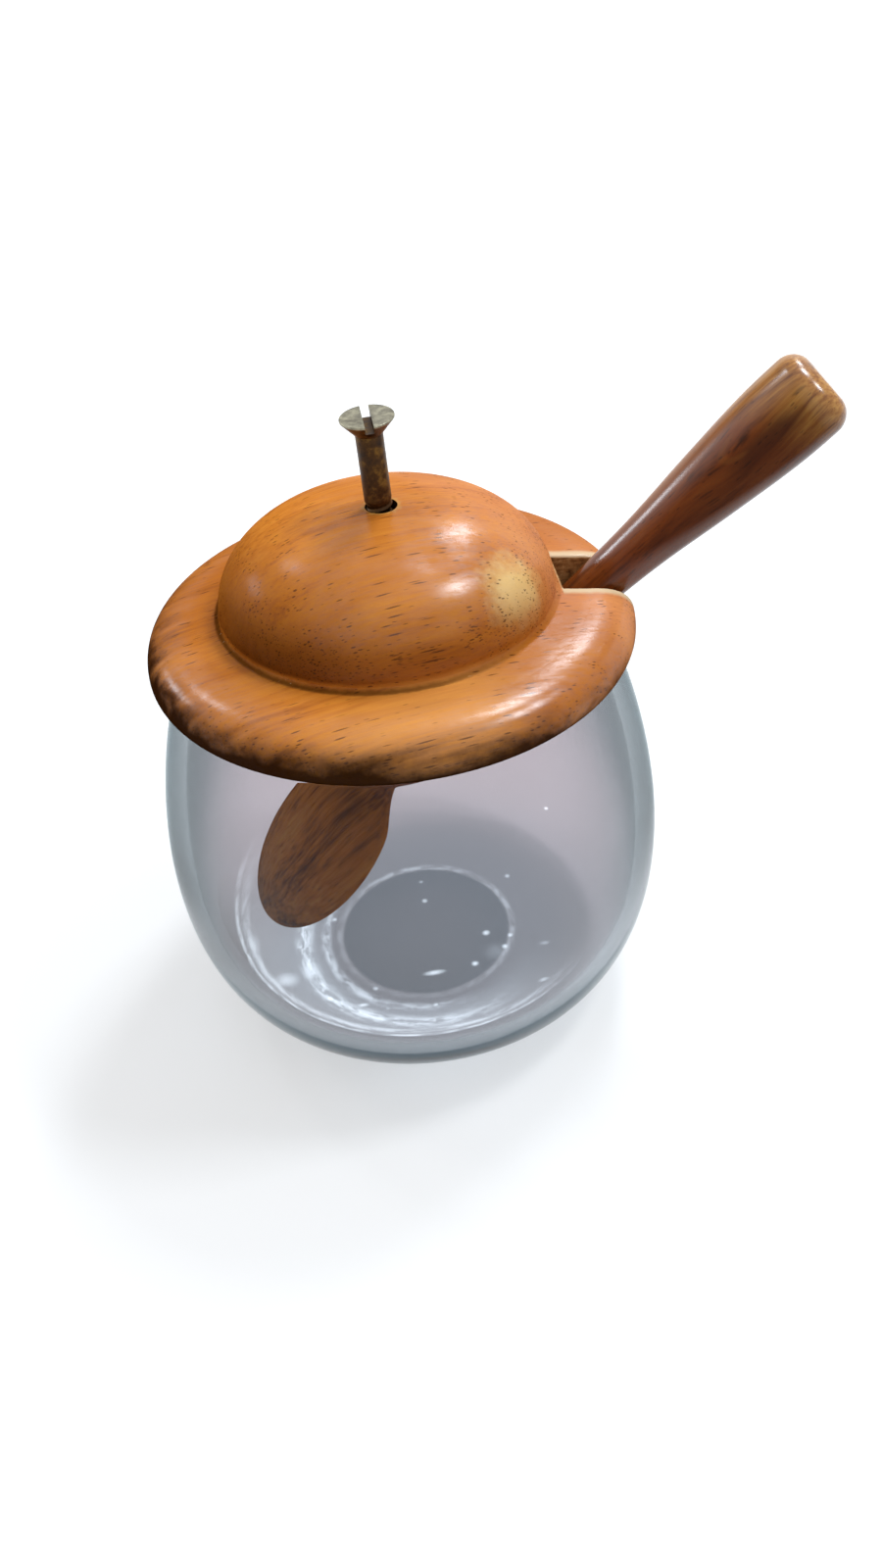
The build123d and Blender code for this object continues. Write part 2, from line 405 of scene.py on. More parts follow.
grainLook = {  # of both pieces of wood; a noise is its scale, detail, roughness and distortion
    "fibre": (1500.0, 3.0, 0.6), "fibreStretch": 0.05,
    "streak": (170.0, 3.0, 0.55, 0.6), "streakStretch": 0.10, "poreEdge": (0.16, 0.40),
}

lidWood = {  # millimetres; a span is where it begins, where it is full and how ragged it is
    "grainTurn": (0.05, -0.04, math.radians(7)),
    "grainStops": [(0.32, "9c541a"), (0.48, "c67527"), (0.66, "d98a34")],
    "wallStops": [(0.38, "5e3a1e"), (0.50, "a87848"), (0.64, "d0a672")],
    "paints": {
        "dark": "9c541a", "pink": "cc8862", "gold": "e6bf7c", "honey": "e6a862", "grime": "2a1204",
        "pore": "3c1c0a", "creaseDirt": "2a1407", "bare": "d6bc96", "chip": "c4924a", "hole": "150b05",
    },
    "layers": {  # what is laid on, and how strongly
        "pinkSide": ("pink", 0.50), "blotches": ("dark", 0.38), "patch": ("gold", 0.90),
        "frontLow": ("dark", 0.60), "leftSide": ("dark", 0.62), "footLeft": ("grime", 0.70),
        "shine": ("dark", 0.50), "backRim": ("dark", 0.50), "frontRim": ("honey", 0.28),
        "leftRim": ("dark", 0.25), "lowBand": ("grime", 0.95), "under": ("grime", 0.92),
        "dashes": ("pore", 0.72), "specks": ("pore", 0.62), "crease": ("dirtAndShade", 1.0),
        "notchEdge": ("bare", 0.92), "notchWall": ("wall", 1.0), "chips": ("chip", 0.60),
        "inHole": ("hole", 0.95),
    },
    "sides": {  # which way, where it begins and is full that way, and how ragged: millimetres
        "dome": ((0, 0, 1), 89.0, 90.0), "pinkSide": ((1, 0.9, 0), 0, 22, 20),
        "frontLow": ((0, 0, -1), -100, -92, -6), "frontHalf": ((0, -1, 0), 8, 24),
        "endGrain": ((1, 0, 0), 20, 28, 10), "footLeft": ((-0.8, -0.6, -0.9), -64, -44, 6),
        "leftSide": ((-0.85, -0.5, 0), 12, 30, 10), "backRim": ((-0.2, 1, 0), -8, 14, 8),
        "frontRim": ((0.6, -1, 0), 22, 38), "frontRimEnd": ((-1, 0, 0), -24, -10),
        "leftRim": ((-1, 0, 0), 14, 30, -10), "lowBand": ((-0.05, 0, -1), -85.6, -80.0, -2.8, -8),
        "under": ((0, 0, -1), -81.2, -78.5, -2), "creaseLeft": ((-1, 0, 0), -24, 4),
        "lowDome": ((0, 0, -1), -97.2, -93.5), "leftDome": ((-1, 0, 0), 8, 19),
    },
    "spots": {  # place, where it begins to fade, where it ends, and how ragged: millimetres
        "patch": ((20.7, -18.6, 96.4), 2.0, 8.5, 6, 6), "shine": ((26.0, -27.0, 86.8), 10, 20),
        "worn": ((8.5, -16.2, 102.6), 1.0, 6.2),
    },
    # noises: scale, detail, roughness and distortion
    "blotch": (60.0, 2.0), "broad": (34.0, 1.0, 0.5, 0.4), "rough": (420.0, 4.0, 0.7),
    "blotches": (0.50, 0.68), "fibreShare": 0.45, "wallFibreShare": 0.30,
    "dashLength": 6.5, "dashWidth": 0.48, "dashPick": (0.76, 0.84, -0.9),
    "speckLength": 1.7, "speckWidth": 0.34, "speckPick": (0.88, 1.05), "speckCrowd": 0.55,
    "crowds": {"lowBand": 0.8, "endGrain": 0.7, "patch": 0.05},
    "creaseRadius": 31.0, "creaseTop": (88.5, 89.1), "creaseWidth": (0.1, 0.7, 0.5),
    "creaseShares": (0.20, 0.66), "paleSpeckPick": (0.0, 0.05),
    # the walls, edges and chips count from the notch's half width and the hole's radius
    "notchInner": (30.8, 31.2), "notchHalf": 5.797, "notchWall": (0.03, 0.12),
    "notchEdge": (1.20, 2.60, 0.9), "holeAt": 0.75, "holeRadius": 2.8, "holeWall": (0.03, 0.12),
    "chips": (0.25, 1.10, 3.0), "chipsTop": (104.8, 105.6),
    # from and to, then the roughness or the share of wax at each
    "roughSpan": (0.2, 1.0, 0.38, 0.56), "speckRoughness": 0.4, "dullRoughness": 0.3,
    "waxSpan": (0.60, 0.95, 1.0, 0.40), "waxRagged": 0.5, "waxEdgeOn": (0.35, 0.75, 1.0, 0.10),
    "flatRim": (34.5, 38.5, 4),
    "unwaxed": {"lowBand": 0.95, "worn": 0.84, "flatRim": 0.70, "lowDome": 0.80, "leftDome": 0.78},
    "relief": {"fibre": 0.22, "dashes": 0.8, "specks": 0.6}, "bump": (0.35, 0.00007),
    "finish": {"IOR": 1.48, "Specular_IOR_Level": 0.0, "Coat_Roughness": 0.25, "Coat_IOR": 1.52},
}


def grain(r, place, w):
    # place is in metres with the grain along X; gives fine fibres, broad streaks and two sets of pores
    def stretched(x, y):
        made = r.node("ShaderNodeVectorMath", {"operation": "MULTIPLY"}, {0: place, 1: (x, y, y)})
        return made.outputs[0]

    def pores(length, width):
        distance, colour = r.cells(stretched(1 / (length * mm), 1 / (width * mm)), 1.0)
        pick = r.axes(colour)[0]
        return 1 - r.past(grainLook["poreEdge"], distance), pick

    fibre = r.noise(stretched(grainLook["fibreStretch"], 1.0), *grainLook["fibre"])
    streak = r.noise(stretched(grainLook["streakStretch"], 1.0), *grainLook["streak"])
    return fibre, streak, pores(w["dashLength"], w["dashWidth"]), pores(w["speckLength"], w["speckWidth"])


def lidTeak():
    w = lidWood
    r = Recipe("lidTeak")
    turned = r.objectPlace(turn=w["grainTurn"])
    place = r.objectPlace()
    x, y, z = r.axes(place)
    radius = r.distance((x, y), (0, 0))
    fibre, streak, (dash, dashPick), (speck, speckPick) = grain(r, turned, w)
    blotch, broad, rough = [r.noise(turned, *w[name]) for name in ("blotch", "broad", "rough")]

    def side(name, *noises):
        return r.side(place, w["sides"][name], *noises)

    def spot(name, *noises):
        return r.near((x, y, z), w["spots"][name], *noises)

    onDome = side("dome")
    onRim = 1 - onDome
    masks = {
        # pinker towards the right and back, where the lamps are: partly the wood's own tone and partly a
        # painted sheen
        "pinkSide": side("pinkSide", blotch),
        "blotches": r.past(w["blotches"], broad),
        # a golden patch on the dome's right front
        "patch": spot("patch", rough, streak),
        # low on the dome's front the wood is darker, partly from close pores and partly painted shade
        # where it faces down; its left side is painted shade, away from the lamps, and round its foot at
        # the left it is grimy wood with a painted shadow
        "frontLow": side("frontLow", blotch) * onDome * side("frontHalf"),
        "leftSide": side("leftSide", streak) * onDome,
        "footLeft": side("footLeft", rough) * onDome,
        # the rim is browner at its back and where it shines at the right front; its left is painted shade,
        # where the dome keeps the lamps off it
        "shine": spot("shine") * onRim,
        "backRim": side("backRim", streak) * onRim,
        "frontRim": side("frontRim") * side("frontRimEnd") * onRim,
        "leftRim": side("leftRim", streak) * onRim,
        # its lower band darkens towards the left and stays orange at the right, partly the wood's tone and
        # partly painted shade; under the rim it is painted shade
        "lowBand": side("lowBand", rough, streak),
        "under": side("under", rough),
    }

    # pores: sparse dashes all over, and close specks where the wood is darker
    crowded = {**masks, "endGrain": side("endGrain", blotch) * onDome}
    dense = r.largest(masks["frontLow"], *[crowded[name] * share for name, share in w["crowds"].items()])
    masks["dashes"] = dash * r.past(w["dashPick"], dashPick, streak)
    masks["specks"] = speck * r.past(w["speckPick"], speckPick + dense * w["speckCrowd"])

    # the crease under the dome is darkened, partly soiled wood and partly painted shade, stronger at the
    # left where the dome shades it; a few pale specks lie in it
    crease = 1 - r.past(inMetres(w["creaseWidth"]), abs(radius - w["creaseRadius"] * mm), rough)
    crease = crease * (1 - r.past(inMetres(w["creaseTop"]), z))
    right, left = w["creaseShares"]
    masks["crease"] = crease * (side("creaseLeft") * (left - right) + right)
    paleSpeck = speck * (1 - r.past(w["paleSpeckPick"], speckPick))

    # the notch: dark mottled walls, and bare wood along its rounded edges
    inNotch = r.past(inMetres(w["notchInner"]), x)
    wall = inNotch * (1 - r.past(inMetres(w["notchWall"], w["notchHalf"]), abs(y)))
    masks["notchWall"] = wall
    masks["notchEdge"] = inNotch * (1 - r.past(inMetres(w["notchEdge"], w["notchHalf"]), abs(y), rough))

    # chips round the screw's hole
    fromHole = r.distance((x, y), (w["holeAt"], 0))
    chips = 1 - r.past(inMetres(w["chips"], w["holeRadius"]), fromHole, rough)
    masks["chips"] = chips * r.past(inMetres(w["chipsTop"]), z)
    # the wall of the screw's hole is painted near black: painted shade
    masks["inHole"] = 1 - r.past(inMetres(w["holeWall"], w["holeRadius"]), fromHole)

    paints = {name: linear(hexColour) for name, hexColour in w["paints"].items()}
    paints["dirtAndShade"] = r.mix(paleSpeck, paints["creaseDirt"], paints["bare"])
    paints["wall"] = r.ramp(blend(fibre, rough, w["wallFibreShare"]), w["wallStops"])
    colour = r.ramp(blend(fibre, streak, w["fibreShare"]), w["grainStops"])
    colour = r.layered(colour, w["layers"], masks, paints)

    # the wax has worn dull at one spot on the dome, at its foot and left, and inside the rim
    masks["worn"] = spot("worn")
    masks["flatRim"] = (1 - r.past(inMetres(w["flatRim"]), radius, streak)) * onRim
    masks["lowDome"] = side("lowDome") * onDome
    masks["leftDome"] = side("leftDome") * onDome
    gloss = r.smooth(fibre + rough * w["waxRagged"], *w["waxSpan"])
    gloss = gloss * r.smooth(r.edgeOn(), *w["waxEdgeOn"])
    for name, share in w["unwaxed"].items():
        gloss = gloss * (1 - masks[name] * share)
    dull = r.largest(crease, wall, masks["inHole"])
    roughness = r.smooth(fibre + masks["specks"] * w["speckRoughness"], *w["roughSpan"])
    roughness = roughness + dull * w["dullRoughness"]
    relief = w["relief"]
    height = (fibre - 0.5) * relief["fibre"] - masks["dashes"] * relief["dashes"]
    height = height - masks["specks"] * relief["specks"]
    shader = r.principled(
        Base_Color=colour, Roughness=roughness, Coat_Weight=(1 - dull) * gloss,
        Normal=r.bump(height, *w["bump"]), **w["finish"],
    )
    return r.finish(shader)


lidNode = frame["nodes"]["lid"]
lidNode.data.materials.clear()
lidNode.data.materials.append(lidTeak())
print("lid dressed")


screw = {  # millimetres and degrees
    "length": 38.0, "exposed": 16.5, "offset": 0.4, "domeTop": 106.0, "leanAxis": "screw_turn",
    "shank": 2.4, "head": 4.7, "headRound": 0.12, "edge": 0.35, "coneAngle": 82.0,
    "slotWidth": 1.5, "slotDepth": 1.7, "point": 5.0, "threadStart": 14.6, "threadRunIn": 3.0,
    "pitch": 2.0, "threadDepth": 0.62, "flank": (0.16, 0.46), "around": 96, "along": 520,
    "mergeWithin": 0.002, "sharpAngle": 35.0,
    "mottle": (700.0, 5.0, 0.65), "broad": (180.0, 2.0), "mottleShare": 0.6,
    "shankStops": [(0.36, "22140b"), (0.50, "452e16"), (0.66, "7c5c2a")],
    "faceStops": [(0.35, "6a6556"), (0.65, "9c9782")], "faceBegins": ((0, 0, 1), 121.9, 122.1),
    "roughSpan": (0.3, 0.7, 0.34, 0.55), "metalSpan": (0.3, 0.7, 0.75, 1.0), "bump": (0.25, 0.00008),
}


def jointNamed(name):
    return [joint for joint in frame["joints"] if joint["name"] == name][0]


def outlineMesh(points):
    # an open chain of edges in the XZ plane, in millimetres
    mesh = bpy.data.meshes.new("outline")
    mesh.from_pydata([(x, 0, z) for x, z in points], [(i, i + 1) for i in range(len(points) - 1)], [])
    return mesh


class Tree(Recipe):
    # one Geometry Nodes tree under construction
    def __init__(self, name):
        self.tree = bpy.data.node_groups.new(name, "GeometryNodeTree")
        self.tree.interface.new_socket("Geometry", in_out="INPUT", socket_type="NodeSocketGeometry")
        self.tree.interface.new_socket("Geometry", in_out="OUTPUT", socket_type="NodeSocketGeometry")
        self.entry = self.node("NodeGroupInput")
        self.exit = self.node("NodeGroupOutput")
        self.identifiers = {}

    def input(self, name, kind, value):
        made = self.tree.interface.new_socket(name, in_out="INPUT", socket_type=kind)
        made.default_value = value
        self.identifiers[name] = made.identifier
        return Wire(self, self.entry.outputs[name])


def screwTree(material):
    # turns an outline into a screw: revolved, threaded below the plain shank, slotted
    t = Tree("slottedScrew")
    around = t.input("Around", "NodeSocketInt", screw["around"])
    along = t.input("Along", "NodeSocketInt", screw["along"])
    pitch = t.input("Pitch", "NodeSocketFloat", screw["pitch"])
    depth = t.input("Thread depth", "NodeSocketFloat", screw["threadDepth"])
    start = t.input("Thread start", "NodeSocketFloat", screw["threadStart"])
    slotWidth = t.input("Slot width", "NodeSocketFloat", screw["slotWidth"])
    slotDepth = t.input("Slot depth", "NodeSocketFloat", screw["slotDepth"])
    finish = t.input("Finish", "NodeSocketMaterial", material)
    # a flat grid is wrapped round the outline: X of the grid is the turn, Y the way along it
    grid = t.node("GeometryNodeMeshGrid", None, {
        "Size X": 1.0, "Size Y": 1.0, "Vertices X": around, "Vertices Y": along,
    })
    across, ahead = t.axes(t.node("GeometryNodeInputPosition").outputs[0])[:2]
    turn = (across + 0.5) * (2 * math.pi)
    curve = t.node("GeometryNodeMeshToCurve", None, {"Mesh": t.entry.outputs["Geometry"]})
    sample = t.node("GeometryNodeSampleCurve", {"mode": "FACTOR", "use_all_curves": True}, {
        "Curves": curve.outputs[0], "Factor": ahead + 0.5,
    })
    radius, height = t.axes(sample.outputs["Position"])[::2]
    down = height * -1.0
    # the thread's valley, which begins gradually below the plain shank
    flank = abs(t.maths("FRACT", down / pitch + turn / (2 * math.pi)) - 0.5)
    begun = t.smooth(down - start, 0.0, screw["threadRunIn"])
    cut = t.smooth(flank, *screw["flank"], 1.0, 0.0) * begun * depth
    cutRadius = radius * (1 - cut / screw["shank"])
    joined = t.node("ShaderNodeCombineXYZ", None, {
        0: cutRadius * t.maths("COSINE", turn), 1: cutRadius * t.maths("SINE", turn), 2: height,
    })
    moved = t.node("GeometryNodeSetPosition", None, {
        "Geometry": grid.outputs["Mesh"], "Position": joined.outputs[0],
    })
    closed = t.node("GeometryNodeMergeByDistance", None, {
        "Geometry": moved.outputs[0], "Distance": screw["mergeWithin"],
    })
    sizes = t.node("ShaderNodeCombineXYZ", None, {0: slotWidth, 1: 3 * screw["head"], 2: slotDepth * 2.0})
    cutter = t.node("GeometryNodeMeshCube", None, {"Size": sizes.outputs[0]})
    slotted = t.node("GeometryNodeMeshBoolean", {"operation": "DIFFERENCE"}, {
        "Mesh 1": closed.outputs[0], "Mesh 2": cutter.outputs["Mesh"],
    })
    real = t.node("GeometryNodeRealizeInstances", None, {"Geometry": slotted.outputs[0]})
    dressed = t.node("GeometryNodeSetMaterial", None, {"Geometry": real.outputs[0], "Material": finish})
    t.feed(t.exit.inputs[0], dressed.outputs[0])
    return t


def screwBrass():
    s = screw
    r = Recipe("screwBrass")
    place = r.objectPlace()
    mottle = r.noise(place, *s["mottle"])
    broad = r.noise(place, *s["broad"])
    shank = r.ramp(blend(mottle, broad, s["mottleShare"]), s["shankStops"])
    face = r.side(place, s["faceBegins"])
    shader = r.principled(
        Base_Color=r.mix(face, shank, r.ramp(mottle, s["faceStops"])),
        Metallic=r.smooth(broad, *s["metalSpan"]), Roughness=r.smooth(mottle, *s["roughSpan"]),
        Normal=r.bump(mottle, *s["bump"]),
    )
    return r.finish(shader)


def makeScrew():
    s = screw
    turn = jointNamed(s["leanAxis"])
    up = Vector(turn["axis"]).normalized()
    top = (Vector((s["offset"], 0, s["domeTop"])) + up * s["exposed"]) * mm
    cone = (s["head"] - s["shank"]) / math.tan(math.radians(s["coneAngle"] / 2))
    outline = [
        (0, 0), (s["head"] - s["headRound"], 0), (s["head"], -s["headRound"]), (s["head"], -s["edge"]),
        (s["shank"], -s["edge"] - cone), (s["shank"], s["point"] - s["length"]), (0, -s["length"]),
    ]
    brass = screwBrass()
    tree = screwTree(brass)
    base = bpy.data.objects.new("screwOutline", outlineMesh(outline))
    scene.collection.objects.link(base)
    modifier = base.modifiers.new("screw", "NODES")
    modifier.node_group = tree.tree
    for name, value in (("Around", s["around"]), ("Along", s["along"]), ("Pitch", s["pitch"])):
        modifier[tree.identifiers[name]] = value
    modifier[tree.identifiers["Finish"]] = brass
    evaluated = base.evaluated_get(bpy.context.evaluated_depsgraph_get())
    mesh = bpy.data.meshes.new_from_object(evaluated)
    bpy.data.objects.remove(base)
    side = Vector((0, 1, 0))
    across = side.cross(up).normalized()
    axes = Matrix((across, side, up)).transposed().to_4x4()
    mesh.transform(Matrix.Translation(top) @ axes @ Matrix.Scale(mm, 4))
    solid = bmesh.new()
    solid.from_mesh(mesh)
    bmesh.ops.recalc_face_normals(solid, faces=solid.faces)
    solid.to_mesh(mesh)
    solid.free()
    objectFrom("lidScrewBrass", mesh, brass, "screw", "aged_brass", "lid_screw")
    mesh.set_sharp_from_angle(angle=math.radians(s["sharpAngle"]))
    print("screw:", len(mesh.polygons), "faces")


makeScrew()


spoon = {  # millimetres and degrees
    "atNotch": (41.4, 0.0, 86.089), "neck": 63.331, "roll": 30.0, "bend": 9.1,
    "sections": [  # distance up from the notch, half width, half thickness
        (-63.331, 4.0, 2.7), (-30.0, 4.1, 2.9), (-8.0, 4.6, 3.0), (8.0, 5.4, 3.7),
        (24.0, 7.2, 5.0), (38.0, 8.5, 5.9), (49.4, 8.6, 6.0),
    ],
    "endRound": 3.9, "bowlLength": 49.4, "bowlHalfWidth": 14.2, "bowlDepth": 6.0,
    "bowlRim": 2.3, "bowlFloor": 2.4, "bowlOverlap": 3.4, "tipHalfWidth": 0.05,
    "blendFrom": 7.0, "widens": (-6.0, 5.5), "hollows": (-2.0, 8.0),  # along the bowl from the neck
    "around": 128, "capSteps": 16, "faceSteps": 5, "handleSteps": 120, "bowlSteps": 110, "crowding": 0.65,
    "grainStops": [(0.32, "411a08"), (0.50, "7a3c14"), (0.70, "8c4c1a")], "fibreShare": 0.40,
    "tanStops": [(0.36, "74421a"), (0.50, "ae7638"), (0.64, "cf9a50")], "tanFibreShare": 0.60,
    "dryStops": [(0.34, "5a3412"), (0.50, "a26424"), (0.66, "b8823c")], "dryFibreShare": 0.45,
    "paints": {"dark": "411a08", "gold": "a86a2c", "eye": "1c0c05", "pore": "1e0c04"},
    "layers": {  # what is laid on, and how strongly
        "upper": ("gold", 0.60), "club": ("tan", 0.75), "wedge": ("dark", 0.70),
        "lower": ("dark", 0.35), "knotRing": ("gold", 0.16), "knotEye": ("eye", 0.70),
        "bowl": ("dry", 0.85), "dashes": ("pore", 0.42), "specks": ("pore", 0.45),
    },
    "sides": {  # which way, where it begins and is full that way, and how ragged: millimetres
        "handle": ((1, 0, 0), -4, 12), "upper": ((0, 1, 0), 0.5, 6.5, 6),
        "lower": ((0, -1, 0), 1.0, 5.5, -4), "club": ((1, 0.5, 0), 33.0, 45.5, 8),
        "wedgeBegins": ((1, 0, 0), 26, 33), "wedgeEnds": ((-1, 0, 0), -46.5, -40.0, -6),
        "bowl": ((-1, 0, 0), 52, 68), "lowEdge": ((0, 0.25, -1), -4.2, -2.6),
        "clubEnd": ((1, 0, 0), 43.0, 46.5),
    },
    "wedgeMiddle": -4.0, "wedgeWidth": (0.4, 2.8), "crest": 1.8, "crestWidth": (0.6, 3.6),
    "knot": (33.6, -1.2), "knotLength": 0.45, "knotRadius": 2.1, "knotLine": (0.1, 0.6),
    "knotWobble": 1.0, "knotRingEnds": (-2, 0), "knotEye": (0.2, 1.1, 1.2),
    "swing": (1.5, 9.5), "swingMost": 0.55,
    "waver": (55.0, 2.0), "waverWidth": 2.0,
    "dashLength": 4.6, "dashWidth": 0.5, "dashPick": (0.62, 0.74, -0.8),
    "speckLength": 1.6, "speckWidth": 0.36, "speckPick": (0.80, 0.90),
    "crestGloss": (0.14, 0.85), "endGloss": 0.6,
    "roughSpan": (0.2, 0.8, 0.36, 0.52), "bowlRoughness": 0.15,
    "relief": {"fibre": 0.3, "dashes": 0.9, "specks": 0.4}, "bump": (0.35, 0.00007),
    "finish": {"IOR": 1.48, "Specular_IOR_Level": 0.0, "Coat_Roughness": 0.21, "Coat_IOR": 1.60},
}


def eased(value, low, high):
    t = min(max((value - low) / (high - low), 0), 1)
    return t * t * (3 - 2 * t)


def handleSection(station):
    # half width and half thickness, by a smooth curve through the named sections
    rows = spoon["sections"]
    last = len(rows) - 2
    i = max([k for k in range(last + 1) if rows[k][0] <= station], default=0)
    a, b = rows[i], rows[i + 1]
    before = rows[max(i - 1, 0)]
    after = rows[min(i + 2, last + 1)]
    t = (station - a[0]) / (b[0] - a[0])
    values = []
    for k in (1, 2):
        span = b[0] - a[0]
        slopeA = (b[k] - before[k]) / max(b[0] - before[0], 1e-6) * span
        slopeB = (after[k] - a[k]) / max(after[0] - a[0], 1e-6) * span
        values.append(
            (2 * t ** 3 - 3 * t * t + 1) * a[k] + (t ** 3 - 2 * t * t + t) * slopeA
            + (3 * t * t - 2 * t ** 3) * b[k] + (t ** 3 - t * t) * slopeB
        )
    return values


def spoonWays():
    # unit vectors up the handle, across its width and out of its back
    along = Vector(jointNamed("spoon_draw")["axis"]).normalized()
    level = Vector((-along.y, along.x, 0)).normalized()
    face = along.cross(level)
    roll = math.radians(spoon["roll"])
    return (
        along,
        level * math.cos(roll) + face * math.sin(roll),
        face * math.cos(roll) - level * math.sin(roll),
    )


def spoonRings():
    s = spoon
    along, wide, back = spoonWays()
    bend = math.radians(s["bend"])
    notch = Vector(s["atNotch"])
    neck = notch - along * s["neck"]
    bowlWay = -along * math.cos(bend) - back * math.sin(bend)
    bowlBack = back * math.cos(bend) - along * math.sin(bend)
    reach = s["bowlLength"] / 2 - s["bowlOverlap"]
    halfLength = s["bowlLength"] / 2
    tip = s["bowlLength"] - s["bowlOverlap"]
    end = s["sections"][-1][0]
    count = s["around"]

    def ring(centre, backWay, halfWidth, rise, lowAt):
        # round the handle or the bowl: its back is an arch, and lowAt gives its face
        points = []
        for i in range(count):
            turn = 2 * math.pi * i / count
            across = halfWidth * math.cos(turn)
            if turn <= math.pi:
                high = rise * math.sin(turn)
            else:
                high = lowAt(across, -math.sin(turn))
            points.append((centre + wide * across + backWay * high) * mm)
        return points

    def handleRing(station, halfWidth, thick):
        # an oval across the handle
        return ring(notch + along * station, back, halfWidth, thick, lambda across, share: -thick * share)

    # club end: a flat face, then the section draws in over the rounded edge
    width, thick = handleSection(end)
    faceWidth, faceThick = width - s["endRound"], thick - s["endRound"]
    rings = []
    for k in range(1, s["faceSteps"]):
        share = k / s["faceSteps"]
        rings.append(handleRing(end, faceWidth * share, faceThick * share))
    for i in range(1, s["capSteps"] + 1):
        turn = math.pi / 2 * i / s["capSteps"]
        inset = s["endRound"] * (1 - math.sin(turn))
        station = end - s["endRound"] * (1 - math.cos(turn))
        width, thick = handleSection(station)
        rings.append(handleRing(station, width - inset, thick - inset))
    # handle, neck and bowl along one spine
    blendFrom = s["blendFrom"]
    topStation = end - s["endRound"]
    handleRun = topStation + s["neck"] - blendFrom
    for i in range(1, s["handleSteps"] + 1):
        station = topStation - handleRun * i / s["handleSteps"]
        rings.append(handleRing(station, *handleSection(station)))
    insideLength = halfLength - s["bowlRim"]
    insideWidth = s["bowlHalfWidth"] - s["bowlRim"]
    insideDepth = s["bowlDepth"] - s["bowlFloor"]
    for i in range(1, s["bowlSteps"] + 1):
        # u runs from above the neck to the tip, closer together towards the tip
        share = i / (s["bowlSteps"] + 1)
        u = -blendFrom + (tip + blendFrom) * blend(math.sin(math.pi / 2 * share), share, s["crowding"])
        bent = eased(u, -blendFrom, blendFrom)
        centre = (neck - along * u).lerp(neck + bowlWay * u, bent)
        backWay = (back * (1 - bent) + bowlBack * bent).normalized()
        bowlShare = math.sqrt(max(1 - ((u - reach) / halfLength) ** 2, 0))
        handleWidth, handleThick = handleSection(max(-s["neck"] - u, -s["neck"]))
        into = eased(u, *s["widens"])
        bowlWidth = max(s["bowlHalfWidth"] * bowlShare, s["tipHalfWidth"])
        halfWidth = handleWidth * (1 - into) + bowlWidth * into
        rise = handleThick * (1 - into) + s["bowlDepth"] * bowlShare * into

        def lowAt(across, share, u=u, into=into, thick=handleThick):
            left = 1 - ((u - reach) / insideLength) ** 2 - (across / insideWidth) ** 2
            hollow = insideDepth * math.sqrt(left) if left > 0 else 0.0
            return -thick * share * (1 - into) + hollow * eased(u, *s["hollows"])

        rings.append(ring(centre, backWay, halfWidth, rise, lowAt))
    return rings, (notch + along * end) * mm, (neck + bowlWay * tip) * mm


